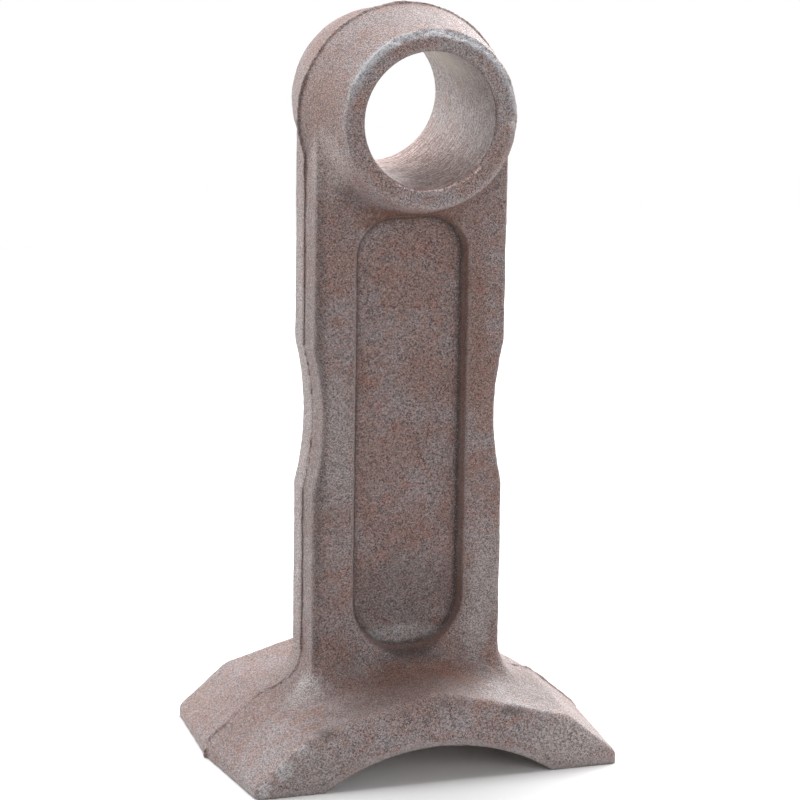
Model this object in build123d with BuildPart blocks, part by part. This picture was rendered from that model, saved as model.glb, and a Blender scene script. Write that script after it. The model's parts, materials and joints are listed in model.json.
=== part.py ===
from build123d import *
import os

# Hammer flail of a mulcher: one closed-die steel forging that hangs on a pin and beats
# with its wide foot. The dies meet in the plane Y = 0, so everything leans away from it,
# and the forging is the same in front of that plane as behind it.
# Frame: the origin is on the axis of the drilled eye, halfway along it. Y runs along the
# pin, X across the foot in the direction of the swing, Z up from the foot to the eye.

# Eye
bore_d = 25.5           # takes a 25 mm pin
bore_chamfer = 0.4
bore_off_centre = 0.4   # the bore is drilled this far to -X of the forging's centre line
eye_length = 34.0
eye_face_d = 33.0
eye_overhang = 1.4      # the eye leans outwards from its faces to the parting plane, where it
eye_sag = 1.0           # is this much wider than the shank on each side, and centred lower
eye_edge = 0.7          # chamfer round each face
eye_root_r = 3.0        # fillet under the eye

# Shank
shank_width = 38.2
shank_thickness = 14.4
shank_draft = 1.5
shank_edge_r = 1.7
waist_depth = 1.75      # a long shallow arc in each side
waist_length = 27.5
waist_centre = -58.3
waist_end_r = 5.0       # rounds the two ends of that arc

# Recess in the front and in the back of the shank
recess_width = 21.0     # these sizes are taken on its floor
recess_depth = 2.8
recess_below_eye = 3.5  # from the eye's face down to the top of the recess
recess_above_foot = 1.1 # from the crest of the foot to the foot of the recess
recess_top_r = 7.0
recess_foot_flat = 2.0  # left straight across the foot, the rest of it is round
recess_draft = 12.0
recess_floor_r = 1.2
recess_mouth_r = 0.8

# Foot
reach = 124.0           # eye axis to the ground underside
foot_width = 76.2       # over the tips, in the parting plane
foot_length = 53.0
foot_draft = 4.5
foot_height = 19.7      # crest above the underside, in the parting plane
crest_r = 15.0
knee_height = 12.0      # the top falls from the crest to the knees, then faster to the tips
knee_past_root = 0.5    # the knees stand this far outside the root of the shank
knee_r = 6.0
tip_height = 3.2
tip_r = 4.0
foot_edge_r = 1.5
foot_root_r = 8.0       # fillet between shank and foot

# Underside, ground after forging
grinding = 1.0
arch_width = 45.4
arch_rise = 7.0
arch_edge_r = 0.8

# Trimmed flash that stands out along the parting line
flash_proud = 0.35
flash_thickness = 0.9

# Looks from the front at the parting plane: x to the right, y up
dies = Plane(origin=(bore_off_centre, 0, 0), x_dir=(1, 0, 0), z_dir=(0, -1, 0))

# Outline of the shank, running up into the eye and down into the foot
side = shank_width / 2
crest = foot_height - reach
waist_top = waist_centre + waist_length / 2
waist_foot = waist_centre - waist_length / 2
shank_foot = foot_height / 2 - reach     # ends half-way up the foot
with BuildSketch() as shank_outline:
    with BuildLine():
        Line((side, -eye_sag), (side, waist_top))
        ThreePointArc((side, waist_top), (side - waist_depth, waist_centre), (side, waist_foot))
        Polyline((side, waist_foot), (side, shank_foot), (0, shank_foot))
        mirror(about=Plane.YZ)
        ThreePointArc((-side, -eye_sag), (0, side - eye_sag), (side, -eye_sag))
    make_face()
    waist_ends = shank_outline.vertices().filter_by_position(Axis.Y, waist_foot, waist_top)
    fillet(waist_ends, waist_end_r)

# Outline of the foot in the parting plane: crest, knees, and shoulders falling to the tips
knee_half = side + foot_root_r + knee_past_root
tip_half = foot_width / 2
with BuildSketch() as foot_outline:
    with BuildLine():
        Polyline((0, crest), (knee_half, knee_height - reach),
                 (tip_half, tip_height - reach), (tip_half, -reach - grinding),
                 (0, -reach - grinding))
        mirror(about=Plane.YZ)
    make_face()
    fillet(foot_outline.vertices().group_by(Axis.Y)[1], tip_r)
    fillet(foot_outline.vertices().group_by(Axis.Y)[-2], knee_r)
    fillet(foot_outline.vertices().group_by(Axis.Y)[-1], crest_r)

# Front halves of the shank, the foot and the eye, each leaning back from the parting plane
with BuildPart() as shank:
    with BuildSketch(dies):
        add(shank_outline.sketch)
    extrude(amount=shank_thickness / 2)
    draft(shank.faces().filter_by(Axis.Y, reverse=True), dies, shank_draft)
    fillet(shank.faces().sort_by(Axis.Y)[0].edges(), shank_edge_r)

with BuildPart() as foot:
    with BuildSketch(dies):
        add(foot_outline.sketch)
    extrude(amount=foot_length / 2)
    leaning = foot.faces().filter_by(Axis.Y, reverse=True).filter_by(Axis.Z, reverse=True)
    draft(leaning, dies, foot_draft)
    fillet(foot.faces().sort_by(Axis.Y)[0].edges(), foot_edge_r)

with BuildPart() as eye:
    with BuildSketch(dies):
        with Locations((0, -eye_sag)):
            Circle(side + eye_overhang)
    with BuildSketch(dies.offset(eye_length / 2)):
        Circle(eye_face_d / 2)
    loft(ruled=True)
    chamfer(eye.faces().sort_by(Axis.Y)[0].edges(), eye_edge)

# What the recess takes out of the front half. Its sides open outwards from its floor.
recess_top = -eye_face_d / 2 - recess_below_eye
recess_bottom = crest + recess_above_foot
recess_length = recess_top - recess_bottom
recess_floor = dies.offset(shank_thickness / 2 - recess_depth)
with BuildPart() as recess:
    with BuildSketch(recess_floor) as floor:
        with Locations((0, recess_bottom + recess_length / 2)):
            Rectangle(recess_width, recess_length)
        fillet(floor.vertices().group_by(Axis.Y)[-1], recess_top_r)
        fillet(floor.vertices().group_by(Axis.Y)[0], (recess_width - recess_foot_flat) / 2)
    extrude(amount=recess_depth + foot_root_r)
    draft(recess.faces().filter_by(Axis.Y, reverse=True), recess_floor, -recess_draft)
    fillet(recess.faces().sort_by(Axis.Y)[-1].edges(), recess_floor_r)

with BuildPart() as hammer_flail:
    # The front halves grown together, with a fillet at each root
    add(shank.part)
    add(foot.part)
    fillet(hammer_flail.edges(Select.NEW), foot_root_r)
    add(eye.part)
    fillet(hammer_flail.edges(Select.NEW), eye_root_r)
    add(recess.part, mode=Mode.SUBTRACT)
    fillet(hammer_flail.edges(Select.NEW), recess_mouth_r)

    # The back half is the front half mirrored in the parting plane
    mirror(about=Plane.XZ)

    # Flash left standing round the whole outline
    with BuildSketch(dies) as flash:
        add(shank_outline.sketch)
        add(foot_outline.sketch)
        with Locations((0, -eye_sag)):
            Circle(side + eye_overhang)
        on_side = flash.vertices().filter_by(lambda v: abs(abs(v.X) - side) < 0.001)
        fillet(on_side.group_by(Axis.Y)[0], foot_root_r)
        on_side = flash.vertices().filter_by(lambda v: abs(abs(v.X) - side) < 0.001)
        fillet(on_side.group_by(Axis.Y)[-1], eye_root_r)
        offset(amount=flash_proud, kind=Kind.INTERSECTION)
    extrude(amount=flash_thickness / 2, both=True)

    # Underside ground to two flat lands with a hollow arch between them
    arch_r = ((arch_width / 2) ** 2 + arch_rise**2) / (2 * arch_rise)
    with BuildSketch(dies):
        with Locations((0, -reach)):
            Rectangle(2 * foot_width, foot_height, align=(Align.CENTER, Align.MAX))
        with Locations((0, arch_rise - arch_r - reach)):
            Circle(arch_r)
    extrude(amount=foot_length, both=True, mode=Mode.SUBTRACT)
    land_edges = hammer_flail.edges().filter_by(Axis.Y).sort_by(SortBy.LENGTH)[-2:]
    fillet(land_edges, arch_edge_r)

    # Bore, drilled through the eye with its ends broken
    with BuildSketch(Plane.XZ):
        Circle(bore_d / 2)
    extrude(amount=eye_length, both=True, mode=Mode.SUBTRACT)
    chamfer(hammer_flail.edges(Select.NEW), bore_chamfer)

hammer_flail.part.label = "hammer_flail"
os.makedirs("parts", exist_ok=True)
export_step(hammer_flail.part, "parts/hammer_flail.step")
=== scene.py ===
import json
from math import pi, radians

import bmesh
import bpy
import numpy as np
from mathutils import Matrix, Vector, noise
from mathutils.geometry import intersect_point_line


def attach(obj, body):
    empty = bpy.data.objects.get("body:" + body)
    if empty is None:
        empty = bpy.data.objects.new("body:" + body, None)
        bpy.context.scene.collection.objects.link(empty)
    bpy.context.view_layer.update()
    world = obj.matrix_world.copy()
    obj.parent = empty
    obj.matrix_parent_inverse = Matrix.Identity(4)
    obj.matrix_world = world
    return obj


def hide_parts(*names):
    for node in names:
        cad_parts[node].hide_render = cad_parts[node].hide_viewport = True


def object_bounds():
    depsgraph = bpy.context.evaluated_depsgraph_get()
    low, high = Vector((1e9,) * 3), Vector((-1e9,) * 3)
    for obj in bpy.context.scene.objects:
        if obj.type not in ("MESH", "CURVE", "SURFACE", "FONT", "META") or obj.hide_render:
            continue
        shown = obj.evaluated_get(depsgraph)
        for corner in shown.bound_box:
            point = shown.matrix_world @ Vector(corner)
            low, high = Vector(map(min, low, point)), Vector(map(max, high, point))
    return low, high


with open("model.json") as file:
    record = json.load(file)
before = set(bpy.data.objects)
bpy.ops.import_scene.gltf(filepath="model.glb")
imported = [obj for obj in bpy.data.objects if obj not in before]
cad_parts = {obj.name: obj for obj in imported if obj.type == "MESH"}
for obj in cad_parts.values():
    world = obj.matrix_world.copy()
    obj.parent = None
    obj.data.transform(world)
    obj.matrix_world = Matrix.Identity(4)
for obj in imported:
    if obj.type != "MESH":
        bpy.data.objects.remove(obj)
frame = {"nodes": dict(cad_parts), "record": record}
cad_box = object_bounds()

# Forging
# One piece of carbon steel, forged hot between two dies that meet in the plane Y = 0, trimmed
# and shot-blasted. The skin is never quite even, and the flash leaves a ragged line all round.
cad = frame["nodes"]["hammer_flail"]
mesh_step = 0.00038
most_triangles = 190000

flail = bpy.data.objects.new("forged_flail", cad.data.copy())
bpy.context.scene.collection.objects.link(flail)
even = flail.modifiers.new("even_mesh", "REMESH")
even.mode = "VOXEL"
even.voxel_size = mesh_step
even.use_smooth_shade = True
cling = flail.modifiers.new("back_onto_the_solid", "SHRINKWRAP")
cling.target = cad


def settle(piece):
    """Makes what the piece's modifiers give its own mesh, and takes them off."""
    graph = bpy.context.evaluated_depsgraph_get()
    mesh = bpy.data.meshes.new_from_object(piece.evaluated_get(graph))
    mesh.materials.clear()
    piece.modifiers.clear()
    piece.data = mesh


settle(flail)

# Bore and underside were cut after forging, so the unevenness of the skin leaves them alone
bore = next(m for m in frame["record"]["mounts"] if m["name"] == "pivot_bore")
bore_r = bore["dims"]["r_mm"] / 1000
eye_half = bore["dims"]["length_mm"] / 2000
broken_edge = 0.0005     # the broken edges of the bore lie within this of its wall
ground_z = cad_box[0][2]
arch_rise = 0.007
arch_margin = 0.0006     # how far past the top of the arch still counts as under it
close = 0.0001           # what is nearer than this to a surface lies on it


def from_axis(co):
    return Vector((co.x, co.z)).length


def cut_after_forging(co, normal):
    """Whether a place is in the bore, and whether it is on the ground underside."""
    in_bore = from_axis(co) < bore_r + broken_edge and abs(co.y) < eye_half + close
    under = co.z < ground_z + arch_rise + arch_margin and normal.z < -0.5
    return in_bore, under


skin = flail.vertex_groups.new(name="skin")
wall_ends = 0.0006       # the round wall of the bore ends this far inside the eye's faces
tool_mark = 0.00002
flash_half = 0.0006      # half the width of the line that the flash takes up
flash_wander = 0.00028   # how far its edge wanders in and out
flash_wear = 0.00020     # how far it is worn down along the shank
shank_middle, shank_half = -0.062, 0.043
torn = (                 # where the flash is torn or worn off: x, z, how far round that, depth
    (-0.0235, -0.1108, 0.0035, 0.0007),
    (0.0245, -0.1112, 0.0030, 0.0006),
    (-0.0372, -0.1205, 0.0022, 0.0007),
    (-0.0310, -0.1150, 0.0050, 0.0003),
)
folds = (                # where the skin folded over, or stands up in a burr: ends, width, depth
    ((-0.0125, -0.0122, -0.1084), (0.0005, -0.0107, -0.1045), 0.0009, 0.00024),
    ((-0.0352, -0.0265, -0.1232), (-0.0258, -0.0259, -0.1140), 0.0012, -0.00022),
    ((0.0130, -0.0085, -0.1045), (0.0185, -0.0100, -0.1095), 0.0009, 0.00015),
)
longest_fold = 0.012
bm = bmesh.new()
bm.from_mesh(flail.data)
weights = bm.verts.layers.deform.verify()
for v in bm.verts:
    in_bore, under = cut_after_forging(v.co, v.normal)
    v[weights][skin.index] = 0.0 if in_bore or under else 1.0
    radius = from_axis(v.co)
    if radius < bore_r + close and abs(v.co.y) < eye_half - wall_ends:
        drilled = bore_r + tool_mark * noise.noise((v.co.x * 700, v.co.y * 1500, v.co.z * 700))
        v.co.x *= drilled / radius            # a drilled wall is round, with faint tool marks
        v.co.z *= drilled / radius
    if in_bore or under or abs(v.co.y) > flash_half or abs(v.normal.y) > 0.8:
        continue
    ridge = 1 - (v.co.y / flash_half) ** 2
    place = Vector((v.co.x, v.co.z, 0))
    ragged = noise.noise(place * 900) * 0.5 + noise.noise(place * 230 + Vector((5, 1, 3)))
    out = Vector((v.normal.x, 0, v.normal.z)).normalized()
    on_shank = max(0, 1 - (abs(v.co.z - shank_middle) / shank_half) ** 6)
    v.co += out * ridge * (flash_wander * (ragged - 0.35) - flash_wear * on_shank)
    for x, z, spread, depth in torn:
        near = 1 - (Vector((v.co.x - x, v.co.z - z)).length / spread) ** 2
        if near > 0:
            v.co -= out * near * ridge * depth * (1 + 0.8 * noise.noise(place * 1500))
for first, last, width, depth in folds:
    first, last = Vector(first), Vector(last)
    for v in bm.verts:
        if abs(v.co.z - first.z) > longest_fold:
            continue
        nearest, along = intersect_point_line(v.co, first, last)
        near = 1 - ((v.co - nearest).length / width) ** 2
        if near > 0 and 0 < along < 1:
            v.co -= v.normal * near * depth * (1 + noise.noise(v.co * 900)) * 4 * along * (1 - along)

# The front rim of the eye was hammered over at its top, which left a wide uneven bevel there
eye_face_r = 0.0165
rim_width = 0.003        # the bevel stays within this of the rim
least_bevel, more_at_top = 0.0005, 0.0008
ragged_at_top, ragged_all_round, ragged_at_left = 0.0005, 0.00025, 0.0003
for v in bm.verts:
    radius = from_axis(v.co)
    if v.co.y > rim_width - eye_half or abs(radius - eye_face_r) > rim_width:
        continue
    top = max(0, v.co.z / radius) ** 1.5
    left = max(0, -v.co.x / radius) ** 2
    ragged = noise.noise(v.co * 420) + 0.6 * noise.noise(v.co * 1300)
    bevel = least_bevel + top * (more_at_top + ragged_at_top * ragged)
    bevel += (ragged_all_round + ragged_at_left * left) * ragged
    past = (-v.co.y - eye_half) + (radius - eye_face_r) + bevel
    if past > 0:
        inwards = Vector((-v.co.x / radius, 1, -v.co.z / radius)) / 2
        v.co += inwards * past
bm.to_mesh(flail.data)
bm.free()

for name, lump, height in (
    ("wavy_skin", 0.0055, 0.00022),
    ("lumpy_skin", 0.0016, 0.00010),
    ("pitted_skin", 0.0007, 0.00006),
):
    cloud = bpy.data.textures.new(name, "CLOUDS")
    cloud.noise_scale = lump
    cloud.noise_depth = 2
    uneven = flail.modifiers.new(name, "DISPLACE")
    uneven.texture = cloud
    uneven.texture_coords = "LOCAL"
    uneven.strength = height
    uneven.vertex_group = skin.name
thin = flail.modifiers.new("fewer_triangles", "DECIMATE")
thin.ratio = min(1, most_triangles / (2 * len(flail.data.polygons)))
settle(flail)
flail.data.shade_smooth()

# Hollows get painted shade together with dirt and rust, and high edges are rubbed bare. How
# hollow or how proud each spot is comes from its height against the same mesh smoothed flat,
# by more or fewer passes.
count = len(flail.data.vertices)
co = np.zeros(count * 3)
flail.data.vertices.foreach_get("co", co)
co = co.reshape(-1, 3)
normals = np.zeros(count * 3)
flail.data.vertices.foreach_get("normal", normals)
normals = normals.reshape(-1, 3)
ends = np.zeros(len(flail.data.edges) * 2, int)
flail.data.edges.foreach_get("vertices", ends)
one_end, other_end = ends[::2], ends[1::2]
edges_met = np.bincount(ends, minlength=count)[:, None]


def smoothed(values, passes):
    """One row of values for each vertex, drawn half-way to its neighbours' in every pass."""
    for _ in range(passes):
        neighbours = [
            np.bincount(one_end, values[other_end, i], count)
            + np.bincount(other_end, values[one_end, i], count)
            for i in range(values.shape[1])
        ]
        values = 0.5 * values + 0.5 * np.stack(neighbours, 1) / edges_met
    return values


def keep(name, values):
    """Stores one value for each vertex, a little smoothed, for the finishes to read."""
    layer = flail.data.attributes.new(name, "FLOAT", "POINT")
    layer.data.foreach_set("value", smoothed(values[:, None], 2)[:, 0].astype(np.float32))


# The recess is left out of the broad hollows' painted shade and dirt, because its floor stays
# clean up to its wall
forging_x = 0.0004       # the forging's own middle, as the bore is drilled off centre
recess_half, recess_top, recess_foot = 0.0118, -0.0185, -0.1050
recess_from, recess_to = 0.0040, 0.0071
floor_faces = 0.93       # how squarely the floor faces along the pin, at the least
wall_turns = 0.35        # how much less squarely its wall does, at the least
across, deep = np.abs(co[:, 0] - forging_x), np.abs(co[:, 1])
in_recess = (
    (across < recess_half) & (co[:, 2] < recess_top) & (co[:, 2] > recess_foot)
    & (deep > recess_from) & (deep < recess_to)
)
for name, passes in (("valley", 260), ("hollow", 16), ("nick", 6)):
    rise_mm = ((smoothed(co, passes) - co) * normals).sum(1) * 1000
    keep(name, np.where(in_recess, 0, rise_mm) if name == "valley" else rise_mm)
turned = np.clip((floor_faces - np.abs(normals[:, 1])) / wall_turns, 0, 1)
keep("wall", np.where(in_recess, turned, 0))

# Its three finishes are the blasted skin with a bloom of rust, the drilled bore, and the
# underside that was ground. The grain and the rust are used by all three of them, and the
# ragged patches of stains, wear and painted light and shade by the first two.


def new_group(name, inputs, outputs):
    """An empty node group. Inputs are (name, type, default), outputs (name, type)."""
    group = bpy.data.node_groups.new(name, "ShaderNodeTree")
    for label, kind, default in inputs:
        socket = group.interface.new_socket(label, in_out="INPUT", socket_type=kind)
        if default is not None:
            socket.default_value = default
    for label, kind in outputs:
        group.interface.new_socket(label, in_out="OUTPUT", socket_type=kind)
    return group


def put(tree, kind, place=(0, 0), links=None, **settings):
    """A node of that kind, with its settings, and its inputs linked or given as values."""
    node = tree.nodes.new(kind)
    node.location = place
    for key, value in settings.items():
        setattr(node, key, value)
    for key, value in (links or {}).items():
        if isinstance(value, bpy.types.NodeSocket):
            tree.links.new(value, node.inputs[key])
        else:
            node.inputs[key].default_value = value
    return node


def ramp(tree, value, low, high, place=(0, 0), to_min=0.0, to_max=1.0):
    """value, eased from low to high, becomes to_min to to_max."""
    return put(tree, "ShaderNodeMapRange", place, {
        "Value": value, "From Min": low, "From Max": high, "To Min": to_min, "To Max": to_max,
    }, interpolation_type="SMOOTHSTEP").outputs["Result"]


def maths(tree, operation, first, second=0.0, place=(0, 0)):
    """A sum on one or two values, each a number or a socket."""
    return put(
        tree, "ShaderNodeMath", place, {0: first, 1: second}, operation=operation
    ).outputs[0]


def mixed(tree, factor, first, second, place=(0, 0), blend="MIX"):
    """The first colour, changed into the second or multiplied by it as far as factor says."""
    return put(
        tree, "ShaderNodeMix", place, {0: factor, 6: first, 7: second},
        data_type="RGBA", blend_type=blend, clamp_factor=True,
    ).outputs[2]


# Grain left by the shot: grey speckle, warm and cool tints, bright flecks of bare steel and
# dark pits
grain = new_group(
    "blasted_grain",
    [("Vector", "NodeSocketVector", None), ("Scale", "NodeSocketFloat", 2400.0)],
    [("Speckle", "NodeSocketFloat"), ("Flecks", "NodeSocketFloat"),
     ("Pits", "NodeSocketFloat"), ("Tint", "NodeSocketFloat"), ("Height", "NodeSocketFloat")],
)
into = put(grain, "NodeGroupInput", (-900, 0))
outof = put(grain, "NodeGroupOutput", (700, 0))
fine = put(grain, "ShaderNodeTexNoise", (-600, 200), {
    "Vector": into.outputs["Vector"], "Scale": into.outputs["Scale"],
    "Detail": 3.0, "Roughness": 0.65})
coarse = put(grain, "ShaderNodeTexNoise", (-600, -50), {
    "Vector": into.outputs["Vector"],
    "Scale": maths(grain, "MULTIPLY", into.outputs["Scale"], 0.37, (-780, -80)),
    "Detail": 2.0, "Roughness": 0.6})
cells = put(grain, "ShaderNodeTexVoronoi", (-600, -320), {
    "Vector": into.outputs["Vector"],
    "Scale": maths(grain, "MULTIPLY", into.outputs["Scale"], 0.8, (-780, -340))})
both = maths(grain, "ADD", fine.outputs[0],
             maths(grain, "MULTIPLY", coarse.outputs[0], 0.5, (-400, -20)), (-250, 120))
grain.links.new(ramp(grain, both, 0.54, 0.96, (0, 220)), outof.inputs["Speckle"])
drawn = put(grain, "ShaderNodeSeparateColor", (-400, -300), {0: cells.outputs["Color"]})
grain.links.new(drawn.outputs[1], outof.inputs["Tint"])
chosen = ramp(grain, drawn.outputs[0], 0.80, 0.92, (-200, -260))
heart = ramp(grain, cells.outputs["Distance"], 0.55, 0.15, (-200, -440))
grain.links.new(maths(grain, "MULTIPLY", chosen, heart, (0, -320)), outof.inputs["Flecks"])
grain.links.new(ramp(grain, coarse.outputs[0], 0.40, 0.28, (0, 0)), outof.inputs["Pits"])
raised = maths(grain, "ADD", both,
               maths(grain, "MULTIPLY", coarse.outputs[0], 1.4, (0, -160)), (200, -100))
grain.links.new(raised, outof.inputs["Height"])

# Rust that blooms in soft patches and breaks up into spots
rust = new_group(
    "rust_bloom",
    [("Vector", "NodeSocketVector", None), ("Patch Scale", "NodeSocketFloat", 160.0),
     ("Coverage", "NodeSocketFloat", 0.5)],
    [("Rust", "NodeSocketFloat")],
)
into = put(rust, "NodeGroupInput", (-900, 0))
outof = put(rust, "NodeGroupOutput", (500, 0))
patches = put(rust, "ShaderNodeTexNoise", (-600, 160), {
    "Vector": into.outputs["Vector"], "Scale": into.outputs["Patch Scale"],
    "Detail": 4.0, "Roughness": 0.62})
spots = put(rust, "ShaderNodeTexNoise", (-600, -120), {
    "Vector": into.outputs["Vector"],
    "Scale": maths(rust, "MULTIPLY", into.outputs["Patch Scale"], 6.0, (-780, -120)),
    "Detail": 3.0, "Roughness": 0.7})
spotted = maths(rust, "ADD", patches.outputs[0],
                maths(rust, "MULTIPLY", spots.outputs[0], 0.7, (-400, -100)), (-240, 60))
covered = maths(rust, "ADD", spotted, into.outputs["Coverage"], (-60, 60))
rust.links.new(ramp(rust, covered, 1.22, 1.62, (140, 60)), outof.inputs["Rust"])

# A patch with a ragged rim, for stains, wear and painted light and shade: 1 at its centre, 0
# outside its size, both given in metres
ragged_patch = new_group(
    "ragged_patch",
    [("Vector", "NodeSocketVector", None), ("Centre", "NodeSocketVector", None),
     ("Size", "NodeSocketVector", (0.01, 0.01, 0.01))],
    [("Mask", "NodeSocketFloat")],
)
into = put(ragged_patch, "NodeGroupInput", (-900, 0))
outof = put(ragged_patch, "NodeGroupOutput", (500, 0))
from_centre = put(ragged_patch, "ShaderNodeVectorMath", (-700, 100), {
    0: into.outputs["Vector"], 1: into.outputs["Centre"]}, operation="SUBTRACT")
in_sizes = put(ragged_patch, "ShaderNodeVectorMath", (-520, 100), {
    0: from_centre.outputs[0], 1: into.outputs["Size"]}, operation="DIVIDE")
away = put(ragged_patch, "ShaderNodeVectorMath", (-340, 100), {0: in_sizes.outputs[0]}, operation="LENGTH")
fringe = put(ragged_patch, "ShaderNodeTexNoise", (-520, -150), {
    "Vector": into.outputs["Vector"], "Scale": 420.0, "Detail": 4.0, "Roughness": 0.7})
fringed = maths(ragged_patch, "ADD", away.outputs["Value"], fringe.outputs[0], (-160, 0))
ragged_patch.links.new(ramp(ragged_patch, fringed, 1.60, 0.85, (60, 0)), outof.inputs["Mask"])


def patch_mask(tree, where, centre, size, place):
    """The mask of one ragged patch of stain, wear, or painted light and shade, with its centre and size in
    millimetres.
    """
    return put(tree, "ShaderNodeGroup", place, {
        "Vector": where,
        "Centre": [value / 1000 for value in centre],
        "Size": [value / 1000 for value in size],
    }, node_tree=ragged_patch).outputs["Mask"]


# The blasted skin
skin_finish = bpy.data.materials.new("blasted_skin")
skin_finish.use_nodes = True
tree = skin_finish.node_tree
shader = tree.nodes["Principled BSDF"]
where = put(tree, "ShaderNodeTexCoord", (-1700, 0)).outputs["Object"]
valley, hollow, wall, nick = (
    put(tree, "ShaderNodeAttribute", (-1700, down), attribute_name=name).outputs["Fac"]
    for name, down in (("valley", -250), ("hollow", -400), ("wall", -550), ("nick", -650))
)
shot = put(tree, "ShaderNodeGroup", (-1400, 200), {
    "Vector": where, "Scale": 7600}, node_tree=grain)
bloom = put(tree, "ShaderNodeGroup", (-1400, -100), {
    "Vector": where, "Patch Scale": 330, "Coverage": 0.47}, node_tree=rust)
clouds = put(tree, "ShaderNodeTexNoise", (-1400, 460), {
    "Vector": where, "Scale": 75.0, "Detail": 3.0, "Roughness": 0.6})
colour = mixed(tree, ramp(tree, clouds.outputs[0], 0.38, 0.62, (-1200, 460)),
               (0.139, 0.097, 0.089, 1), (0.155, 0.132, 0.132, 1), (-1000, 420))
colour = mixed(tree, maths(tree, "MULTIPLY", bloom.outputs["Rust"], 0.75, (-1000, -60)),
               colour, (0.150, 0.066, 0.045, 1), (-800, 380))
speckled = ramp(tree, shot.outputs["Speckle"], 0.0, 1.0, (-800, 160), 0.20, 2.7)
colour = mixed(tree, 1.0, colour, speckled, (-600, 340), "MULTIPLY")
warm_or_cool = mixed(tree, shot.outputs["Tint"], (1.16, 0.98, 0.93, 1),
                     (0.88, 1.02, 1.07, 1), (-800, 60))
colour = mixed(tree, 1.0, colour, warm_or_cool, (-500, 320), "MULTIPLY")
colour = mixed(tree, maths(tree, "MULTIPLY", shot.outputs["Pits"], 0.35, (-1000, 140)),
               colour, (0.036, 0.024, 0.022, 1), (-400, 300))

# The shank lies sheltered between eye and foot, so it was blasted less and is browner
xyz = put(tree, "ShaderNodeSeparateXYZ", (-1500, -900), {0: where}).outputs
off_middle = maths(tree, "ABSOLUTE", xyz["Y"], 0.0, (-1300, -900))
sheltered = ramp(tree, off_middle, 0.016, 0.008, (-1100, -900))
browner = mixed(tree, 1.0, colour, (0.80, 0.73, 0.71, 1), (-900, -760), "MULTIPLY")
colour = mixed(tree, maths(tree, "MULTIPLY", sheltered, 0.8, (-900, -900)), colour, browner,
               (-100, 240))

# Painted shade with grime in the hollows, and a paler wall round the recess with a dark line
# of painted shade along its foot
# Painted shade and dirt: darker in hollows and broad valleys
broad_shade_and_grime = maths(tree, "MULTIPLY", ramp(tree, valley, 0.10, 0.90, (-1200, -300)), 0.5,
                    (-1120, -260))
shade_and_grime = maths(tree, "MAXIMUM", ramp(tree, hollow, 0.03, 0.20, (-1200, -400)), broad_shade_and_grime,
              (-1050, -350))
colour = mixed(tree, maths(tree, "MULTIPLY", shade_and_grime, 0.75, (-900, -300)),
               colour, (0.050, 0.024, 0.018, 1), (0, 220))
colour = mixed(tree, maths(tree, "MULTIPLY", wall, 0.50, (-900, -400)),
               colour, (0.205, 0.122, 0.098, 1), (60, 220))
# Painted shade: a dark line in the crease along the foot of the recess wall
shade_at_wall_foot = maths(tree, "MULTIPLY", ramp(tree, wall, 0.08, 0.30, (-1100, -480)),
                  ramp(tree, off_middle, 0.0053, 0.0047, (-1100, -560)), (-950, -500))
colour = mixed(tree, maths(tree, "MULTIPLY", shade_at_wall_foot, 0.85, (-900, -450)),
               colour, (0.028, 0.015, 0.012, 1), (80, 220))
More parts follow.
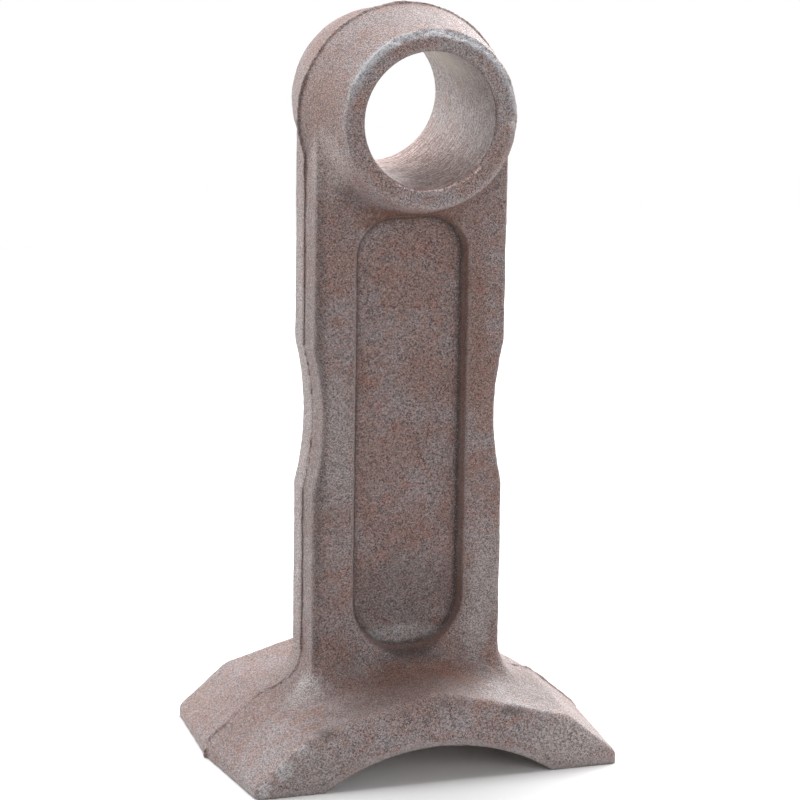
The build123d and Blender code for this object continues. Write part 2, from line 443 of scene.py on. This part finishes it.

# Stains, worn places, and patches of painted light and shade: centre and size in
# millimetres, colour, strength
patch_grain = ramp(tree, shot.outputs["Speckle"], 0.0, 1.0, (-400, -900), 0.25, 1.95)
for centre, size, tint, strength in (
    ((0, -9, -20), (15, 6, 4.5), (0.086, 0.030, 0.014, 1), 0.95),               # under the eye
    ((-3, -8, 19), (13, 9, 6), (0.190, 0.178, 0.184, 1), 0.45),                 # painted sheen: the top of the eye, lighter and greyer
    ((-19, -8, 2), (6, 7, 10), (0.165, 0.078, 0.056, 1), 0.55),                 # left flank of the eye
    ((-16.5, -8.5, -8.5), (6, 7, 8), (0.300, 0.238, 0.218, 1), 0.80),           # lower left of the eye
    ((15.8, -17.0, -1.2), (1.0, 1.2, 1.2), (0.400, 0.330, 0.320, 1), 0.85),     # nick, right of the ring
    ((13, -7, -40), (3, 4, 24), (0.125, 0.055, 0.036, 1), 0.60),                # beside the recess
    ((16, -7.5, -91), (4, 3, 14), (0.230, 0.195, 0.187, 1), 0.75),              # shank, low right
    ((-14, -7.5, -61), (4, 3, 16), (0.215, 0.186, 0.180, 1), 0.70),             # shank, left middle
    ((-18.0, -6.5, -60), (2.4, 1.7, 62), (0.058, 0.036, 0.031, 1), 0.60),       # painted shade on the left edge of the shank
    ((-18.7, -3.4, -60), (5.0, 3.8, 62), (0.092, 0.060, 0.053, 1), 0.55),       # painted shade on the front half of the left flank of the shank
    ((0, -4.5, -93), (13, 1.5, 10), (0.080, 0.060, 0.056, 1), 0.55),            # low on the recess floor
    ((0, -4.6, -101.0), (9, 1.6, 2.2), (0.330, 0.325, 0.330, 1), 0.45),         # painted highlight on the lip of the recess floor, where it tilts up
    ((0, -9, -105), (9, 5, 4.0), (0.046, 0.029, 0.026, 1), 0.80),               # painted shadow below the recess
    ((1, -14, -109), (15, 9, 5.5), (0.128, 0.048, 0.028, 1), 0.95),             # painted shade, rust red, in the valley of the foot
    ((-5, -21, -108), (25, 8, 6.5), (0.092, 0.052, 0.043, 1), 0.75),            # crest of the foot
    ((23, -12, -111), (11, 14, 7), (0.108, 0.064, 0.055, 1), 0.75),             # right slope of the foot
    ((-24, -9, -108), (8, 7, 5), (0.360, 0.340, 0.335, 1), 0.70),               # worn, left of the root
    ((14, -9, -101), (4, 5, 7), (0.330, 0.305, 0.300, 1), 0.45),                # worn, right of the recess
    ((27, -26.5, -119), (11, 2, 8), (0.265, 0.226, 0.218, 1), 0.80),            # front of the foot, right
    ((-25, -26.5, -119), (9, 2, 7), (0.220, 0.190, 0.183, 1), 0.60),            # front of the foot, left
    ((-21.4, -25, -113), (3, 2, 2), (0.050, 0.032, 0.028, 1), 0.65),            # smudges on the front edge
    ((15.2, -26, -111.2), (4, 2, 1.6), (0.050, 0.032, 0.028, 1), 0.60),
    ((-19.0, 4.2, -60), (5.0, 4.6, 70), (0.250, 0.225, 0.220, 1), 0.50),        # painted light on the far side of the left flank
    ((-34.0, -26.4, -122.0), (2.0, 1.2, 2.0), (0.400, 0.390, 0.400, 1), 0.50),  # burr, front left
    ((-30.4, -26.3, -118.6), (2.6, 1.2, 2.6), (0.400, 0.390, 0.400, 1), 0.45),
    ((-27.0, -26.0, -115.2), (2.0, 1.2, 2.0), (0.400, 0.390, 0.400, 1), 0.40),
):
    grainy = mixed(tree, 1.0, tint, patch_grain, (-200, -900), "MULTIPLY")
    spot = patch_mask(tree, where, centre, size, (-400, -1000))
    colour = mixed(tree, maths(tree, "MULTIPLY", spot, strength, (-200, -1000)), colour, grainy,
                   (100, 200))

# Flecks of bare steel, and high edges that are rubbed bare
colour = mixed(tree, maths(tree, "MULTIPLY", shot.outputs["Flecks"], 0.75, (-1000, 60)),
               colour, (0.58, 0.57, 0.58, 1), (150, 200))
proud = maths(tree, "ADD", nick,
              maths(tree, "MULTIPLY", clouds.outputs[0], 0.08, (-1400, -700)), (-1200, -650))
rubbed = ramp(tree, proud, -0.03, -0.10, (-1000, -650))
colour = mixed(tree, maths(tree, "MULTIPLY", rubbed, 0.30, (-800, -600)),
               colour, (0.34, 0.32, 0.32, 1), (200, 180))

# The rim of the front face, hammered bright, with a painted highlight that grows towards its top
rim_middle = eye_face_r - 0.0004
square_to_pin = put(tree, "ShaderNodeVectorMath", (-1300, -1500), {
    0: where, 1: (1, 0, 1)}, operation="MULTIPLY").outputs[0]
off_axis = put(tree, "ShaderNodeVectorMath", (-1150, -1500), {
    0: square_to_pin}, operation="LENGTH").outputs["Value"]
off_rim = maths(tree, "ABSOLUTE", maths(tree, "SUBTRACT", off_axis, rim_middle, (-1000, -1500)),
                0.0, (-850, -1500))
on_rim = ramp(tree, off_rim, 0.0011, 0.0003, (-700, -1500))
in_front = ramp(tree, xyz["Y"], -0.0145, -0.0160, (-1000, -1650))
upwards = ramp(tree, xyz["Z"], -0.004, 0.013, (-1000, -1800), 0.12, 1.0)
rim_grain = ramp(tree, shot.outputs["Speckle"], 0.15, 0.7, (-700, -1400), 0.25, 1.0)
# Painted highlight on the rim, stronger towards the top
rim_highlight = maths(tree, "MULTIPLY", on_rim, in_front, (-550, -1550))
rim_highlight = maths(tree, "MULTIPLY", rim_highlight, upwards, (-400, -1550))
rim_highlight = maths(tree, "MULTIPLY", rim_highlight, rim_grain, (-250, -1550))
colour = mixed(tree, maths(tree, "MULTIPLY", rim_highlight, 0.90, (-100, -1550)), colour,
               (0.45, 0.46, 0.49, 1), (300, 170))

# Painted shade: a thin dark line on each side of the trimmed flash, broken here and there
flash_side = 0.00046     # from the parting plane
off_side = maths(tree, "ABSOLUTE", maths(tree, "SUBTRACT", off_middle, flash_side, (-1300, -1100)),
                 0.0, (-1150, -1100))
shade_beside_flash = ramp(tree, off_side, 0.00020, 0.00006, (-1000, -1100))
less_on_foot = ramp(tree, xyz["Z"], -0.110, -0.095, (-1300, -1300), -0.16, 0.0)
broken = ramp(tree, maths(tree, "ADD", clouds.outputs[0], less_on_foot, (-1150, -1250)),
              0.36, 0.50, (-1000, -1250), 0.0, 0.38)
# The painted shade is made stronger near the root of the foot
at_root = patch_mask(tree, where, (-22, 0, -111), (7, 4, 5), (-1000, -1380))
broken = maths(tree, "MAXIMUM", broken, maths(tree, "MULTIPLY", at_root, 0.8, (-850, -1380)),
               (-800, -1250))
colour = mixed(tree, maths(tree, "MULTIPLY", shade_beside_flash, broken, (-700, -1150)), colour,
               (0.050, 0.026, 0.021, 1), (350, 160))
tree.links.new(colour, shader.inputs["Base Color"])
tree.links.new(ramp(tree, shot.outputs["Speckle"], 0.0, 1.0, (0, -100), 0.74, 0.50),
               shader.inputs["Roughness"])
shader.inputs["Metallic"].default_value = 0.0
shader.inputs["Specular IOR Level"].default_value = 0.6
bump = put(tree, "ShaderNodeBump", (0, -300), {
    "Height": shot.outputs["Height"], "Strength": 0.85, "Distance": 0.00010})
tree.links.new(bump.outputs[0], shader.inputs["Normal"])

# The drilled bore: rings of tool marks round the axis, stained and pitted, with painted light on
# its lower part
bore_finish = bpy.data.materials.new("drilled_bore")
bore_finish.use_nodes = True
tree = bore_finish.node_tree
shader = tree.nodes["Principled BSDF"]
where = put(tree, "ShaderNodeTexCoord", (-1700, 0)).outputs["Object"]
rings = put(tree, "ShaderNodeTexNoise", (-1400, 400), {
    "Vector": put(tree, "ShaderNodeMapping", (-1550, 400), {
        "Vector": where, "Scale": (330, 2400, 330)}).outputs[0],
    "Scale": 1.0, "Detail": 3.0, "Roughness": 0.6})
shot = put(tree, "ShaderNodeGroup", (-1400, 150), {
    "Vector": where, "Scale": 5600}, node_tree=grain)
bloom = put(tree, "ShaderNodeGroup", (-1400, -100), {
    "Vector": where, "Patch Scale": 150, "Coverage": 0.42}, node_tree=rust)
colour = mixed(tree, ramp(tree, rings.outputs[0], 0.3, 0.7, (-1200, 400)),
               (0.175, 0.138, 0.128, 1), (0.235, 0.198, 0.190, 1), (-1000, 380))
speckled = ramp(tree, shot.outputs["Speckle"], 0.0, 1.0, (-1000, 220), 0.35, 1.95)
colour = mixed(tree, 1.0, colour, speckled, (-800, 340), "MULTIPLY")
xyz = put(tree, "ShaderNodeSeparateXYZ", (-1500, -300), {0: where}).outputs
# Painted light: the lower part of the bore, which faces up, is made lighter
low = ramp(tree, xyz["Z"], -0.003, -0.011, (-1300, -300))
painted_light_colour = mixed(tree, 1.0, colour, (2.02, 1.92, 1.94, 1), (-900, -200), "MULTIPLY")
colour = mixed(tree, low, colour, painted_light_colour, (-700, 320))
colour = mixed(tree, maths(tree, "MULTIPLY", bloom.outputs["Rust"], 0.6, (-1200, -60)),
               colour, (0.24, 0.12, 0.08, 1), (-600, 300))
streaks = maths(tree, "MULTIPLY", ramp(tree, rings.outputs[0], 0.58, 0.47, (-1200, -420)), low,
                (-1000, -420))
colour = mixed(tree, maths(tree, "MULTIPLY", streaks, 0.45, (-850, -420)),
               colour, (0.19, 0.085, 0.062, 1), (-500, 300))
tan_patch = patch_mask(tree, where, (10, 2, 9), (6, 14, 6), (-1200, -600))
colour = mixed(tree, maths(tree, "MULTIPLY", tan_patch, 0.65, (-1000, -600)),
               colour, (0.330, 0.255, 0.190, 1), (-450, 300))
colour = mixed(tree, maths(tree, "MULTIPLY", shot.outputs["Pits"], 0.7, (-1200, 60)),
               colour, (0.045, 0.033, 0.031, 1), (-400, 260))
tree.links.new(colour, shader.inputs["Base Color"])
tree.links.new(ramp(tree, rings.outputs[0], 0.3, 0.7, (-400, -50), 0.62, 0.40),
               shader.inputs["Roughness"])
shader.inputs["Metallic"].default_value = 0.15
raised = maths(tree, "ADD", shot.outputs["Height"],
               maths(tree, "MULTIPLY", rings.outputs[0], 0.8, (-600, -250)), (-400, -250))
bump = put(tree, "ShaderNodeBump", (-200, -250), {
    "Height": raised, "Strength": 0.6, "Distance": 0.00009})
tree.links.new(bump.outputs[0], shader.inputs["Normal"])

# The ground underside: straight scratches along the foot, browned over since
ground_finish = bpy.data.materials.new("ground_underside")
ground_finish.use_nodes = True
tree = ground_finish.node_tree
shader = tree.nodes["Principled BSDF"]
where = put(tree, "ShaderNodeTexCoord", (-1700, 0)).outputs["Object"]
scratches = put(tree, "ShaderNodeTexNoise", (-1400, 400), {
    "Vector": put(tree, "ShaderNodeMapping", (-1550, 400), {
        "Vector": where, "Scale": (3000, 90, 3000)}).outputs[0],
    "Scale": 1.0, "Detail": 2.0, "Roughness": 0.6})
shot = put(tree, "ShaderNodeGroup", (-1400, 150), {
    "Vector": where, "Scale": 2600}, node_tree=grain)
bloom = put(tree, "ShaderNodeGroup", (-1400, -100), {
    "Vector": where, "Patch Scale": 120, "Coverage": 0.50}, node_tree=rust)
colour = mixed(tree, ramp(tree, scratches.outputs[0], 0.32, 0.68, (-1200, 400)),
               (0.20, 0.17, 0.16, 1), (0.42, 0.39, 0.38, 1), (-1000, 380))
colour = mixed(tree, maths(tree, "MULTIPLY", bloom.outputs["Rust"], 0.6, (-1200, -60)),
               colour, (0.20, 0.10, 0.065, 1), (-800, 340))
colour = mixed(tree, maths(tree, "MULTIPLY", shot.outputs["Pits"], 0.5, (-1200, 60)),
               colour, (0.06, 0.042, 0.038, 1), (-600, 300))
tree.links.new(colour, shader.inputs["Base Color"])
tree.links.new(ramp(tree, scratches.outputs[0], 0.3, 0.7, (-400, -50), 0.60, 0.42),
               shader.inputs["Roughness"])
shader.inputs["Metallic"].default_value = 0.2
bump = put(tree, "ShaderNodeBump", (-200, -250), {
    "Height": scratches.outputs[0], "Strength": 0.5, "Distance": 0.00008})
tree.links.new(bump.outputs[0], shader.inputs["Normal"])

# The flat ring round each end of the bore keeps the skin's finish
finishes = (skin_finish, bore_finish, ground_finish)
for finish in finishes:
    flail.data.materials.append(finish)
for face in flail.data.polygons:
    in_bore, under = cut_after_forging(face.center, face.normal)
    on_ring = abs(face.normal.y) >= 0.9
    finish = ground_finish if under else skin_finish
    if in_bore and not on_ring:
        finish = bore_finish
    face.material_index = finishes.index(finish)
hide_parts("hammer_flail")
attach(flail, "root")

# Floor
# A plain white sheet, level under the foot and far larger than the object. Seen by the camera
# it is white where it is lit, and it keeps the object's shadow.
floor_mesh = bpy.data.meshes.new("floor")
half = 0.5               # of the sheet's width
floor_mesh.from_pydata(
    [(x, y, ground_z) for x, y in ((-half, -half), (half, -half), (half, half), (-half, half))],
    [], [(0, 1, 2, 3)],
)
floor = bpy.data.objects.new("floor", floor_mesh)
bpy.context.scene.collection.objects.link(floor)
paper = bpy.data.materials.new("white_paper")
paper.use_nodes = True
shader = paper.node_tree.nodes["Principled BSDF"]
shader.inputs["Base Color"].default_value = (0.88, 0.88, 0.88, 1)
shader.inputs["Roughness"].default_value = 0.9
shader.inputs["Specular IOR Level"].default_value = 0.1
floor_mesh.materials.append(paper)

# Light
# A light tent: broad soft lamps above and on both sides, a weaker one in front, and a white
# world that the camera and the reflections see at full strength.
middle = (Vector(cad_box[0]) + Vector(cad_box[1])) / 2
for name, place, width, power in (
    ("above", (0.04, 0.12, 0.50), 0.45, 4.9),
    ("left", (-0.55, 0.66, 0.18), 0.6, 5.6),
    ("right", (0.60, 0.60, 0.18), 0.6, 7.2),
    ("front", (0.35, -1.0, 0.30), 0.6, 3.0),
):
    data = bpy.data.lights.new(name, "AREA")
    data.size = width
    data.energy = power
    lamp = bpy.data.objects.new(name, data)
    bpy.context.scene.collection.objects.link(lamp)
    lamp.location = place
    lamp.rotation_euler = (middle - lamp.location).to_track_quat("-Z", "Y").to_euler()

lights_with, seen_with = 0.28, 1.0      # strengths of the white world
world = bpy.data.worlds.new("tent")
bpy.context.scene.world = world
world.use_nodes = True
tree = world.node_tree
rays = put(tree, "ShaderNodeLightPath", (-600, 0))
seen = maths(tree, "MAXIMUM", rays.outputs["Is Camera Ray"],
             maths(tree, "MAXIMUM", rays.outputs["Is Glossy Ray"],
                   rays.outputs["Is Transmission Ray"], (-400, -80)), (-250, 0))
back = tree.nodes["Background"]
back.inputs["Color"].default_value = (1, 1, 1, 1)
tree.links.new(ramp(tree, seen, 0.0, 1.0, (-100, 0), lights_with, seen_with),
               back.inputs["Strength"])

# Camera
# It stands a little to the left of the front and looks slightly down, as in the photograph. Its
# angles, aim and distance come from a fit to the outline seen there.
turn, tilt, roll = radians(19.41), radians(13.45), radians(0.84)
aim = Vector((0.00065, 0, -0.05629))
distance = 0.6854
camera_data = bpy.data.cameras.new("camera")
camera_data.sensor_width = 36
camera_data.lens = 162
camera = bpy.data.objects.new("camera", camera_data)
bpy.context.scene.collection.objects.link(camera)
facing = (
    Matrix.Rotation(-turn, 4, "Z") @ Matrix.Rotation(pi / 2 - tilt, 4, "X")
    @ Matrix.Rotation(roll, 4, "Z")
)
camera.matrix_world = Matrix.Translation(aim) @ facing @ Matrix.Translation((0, 0, distance))
bpy.context.scene.camera = camera
bpy.context.scene.view_settings.view_transform = "Standard"
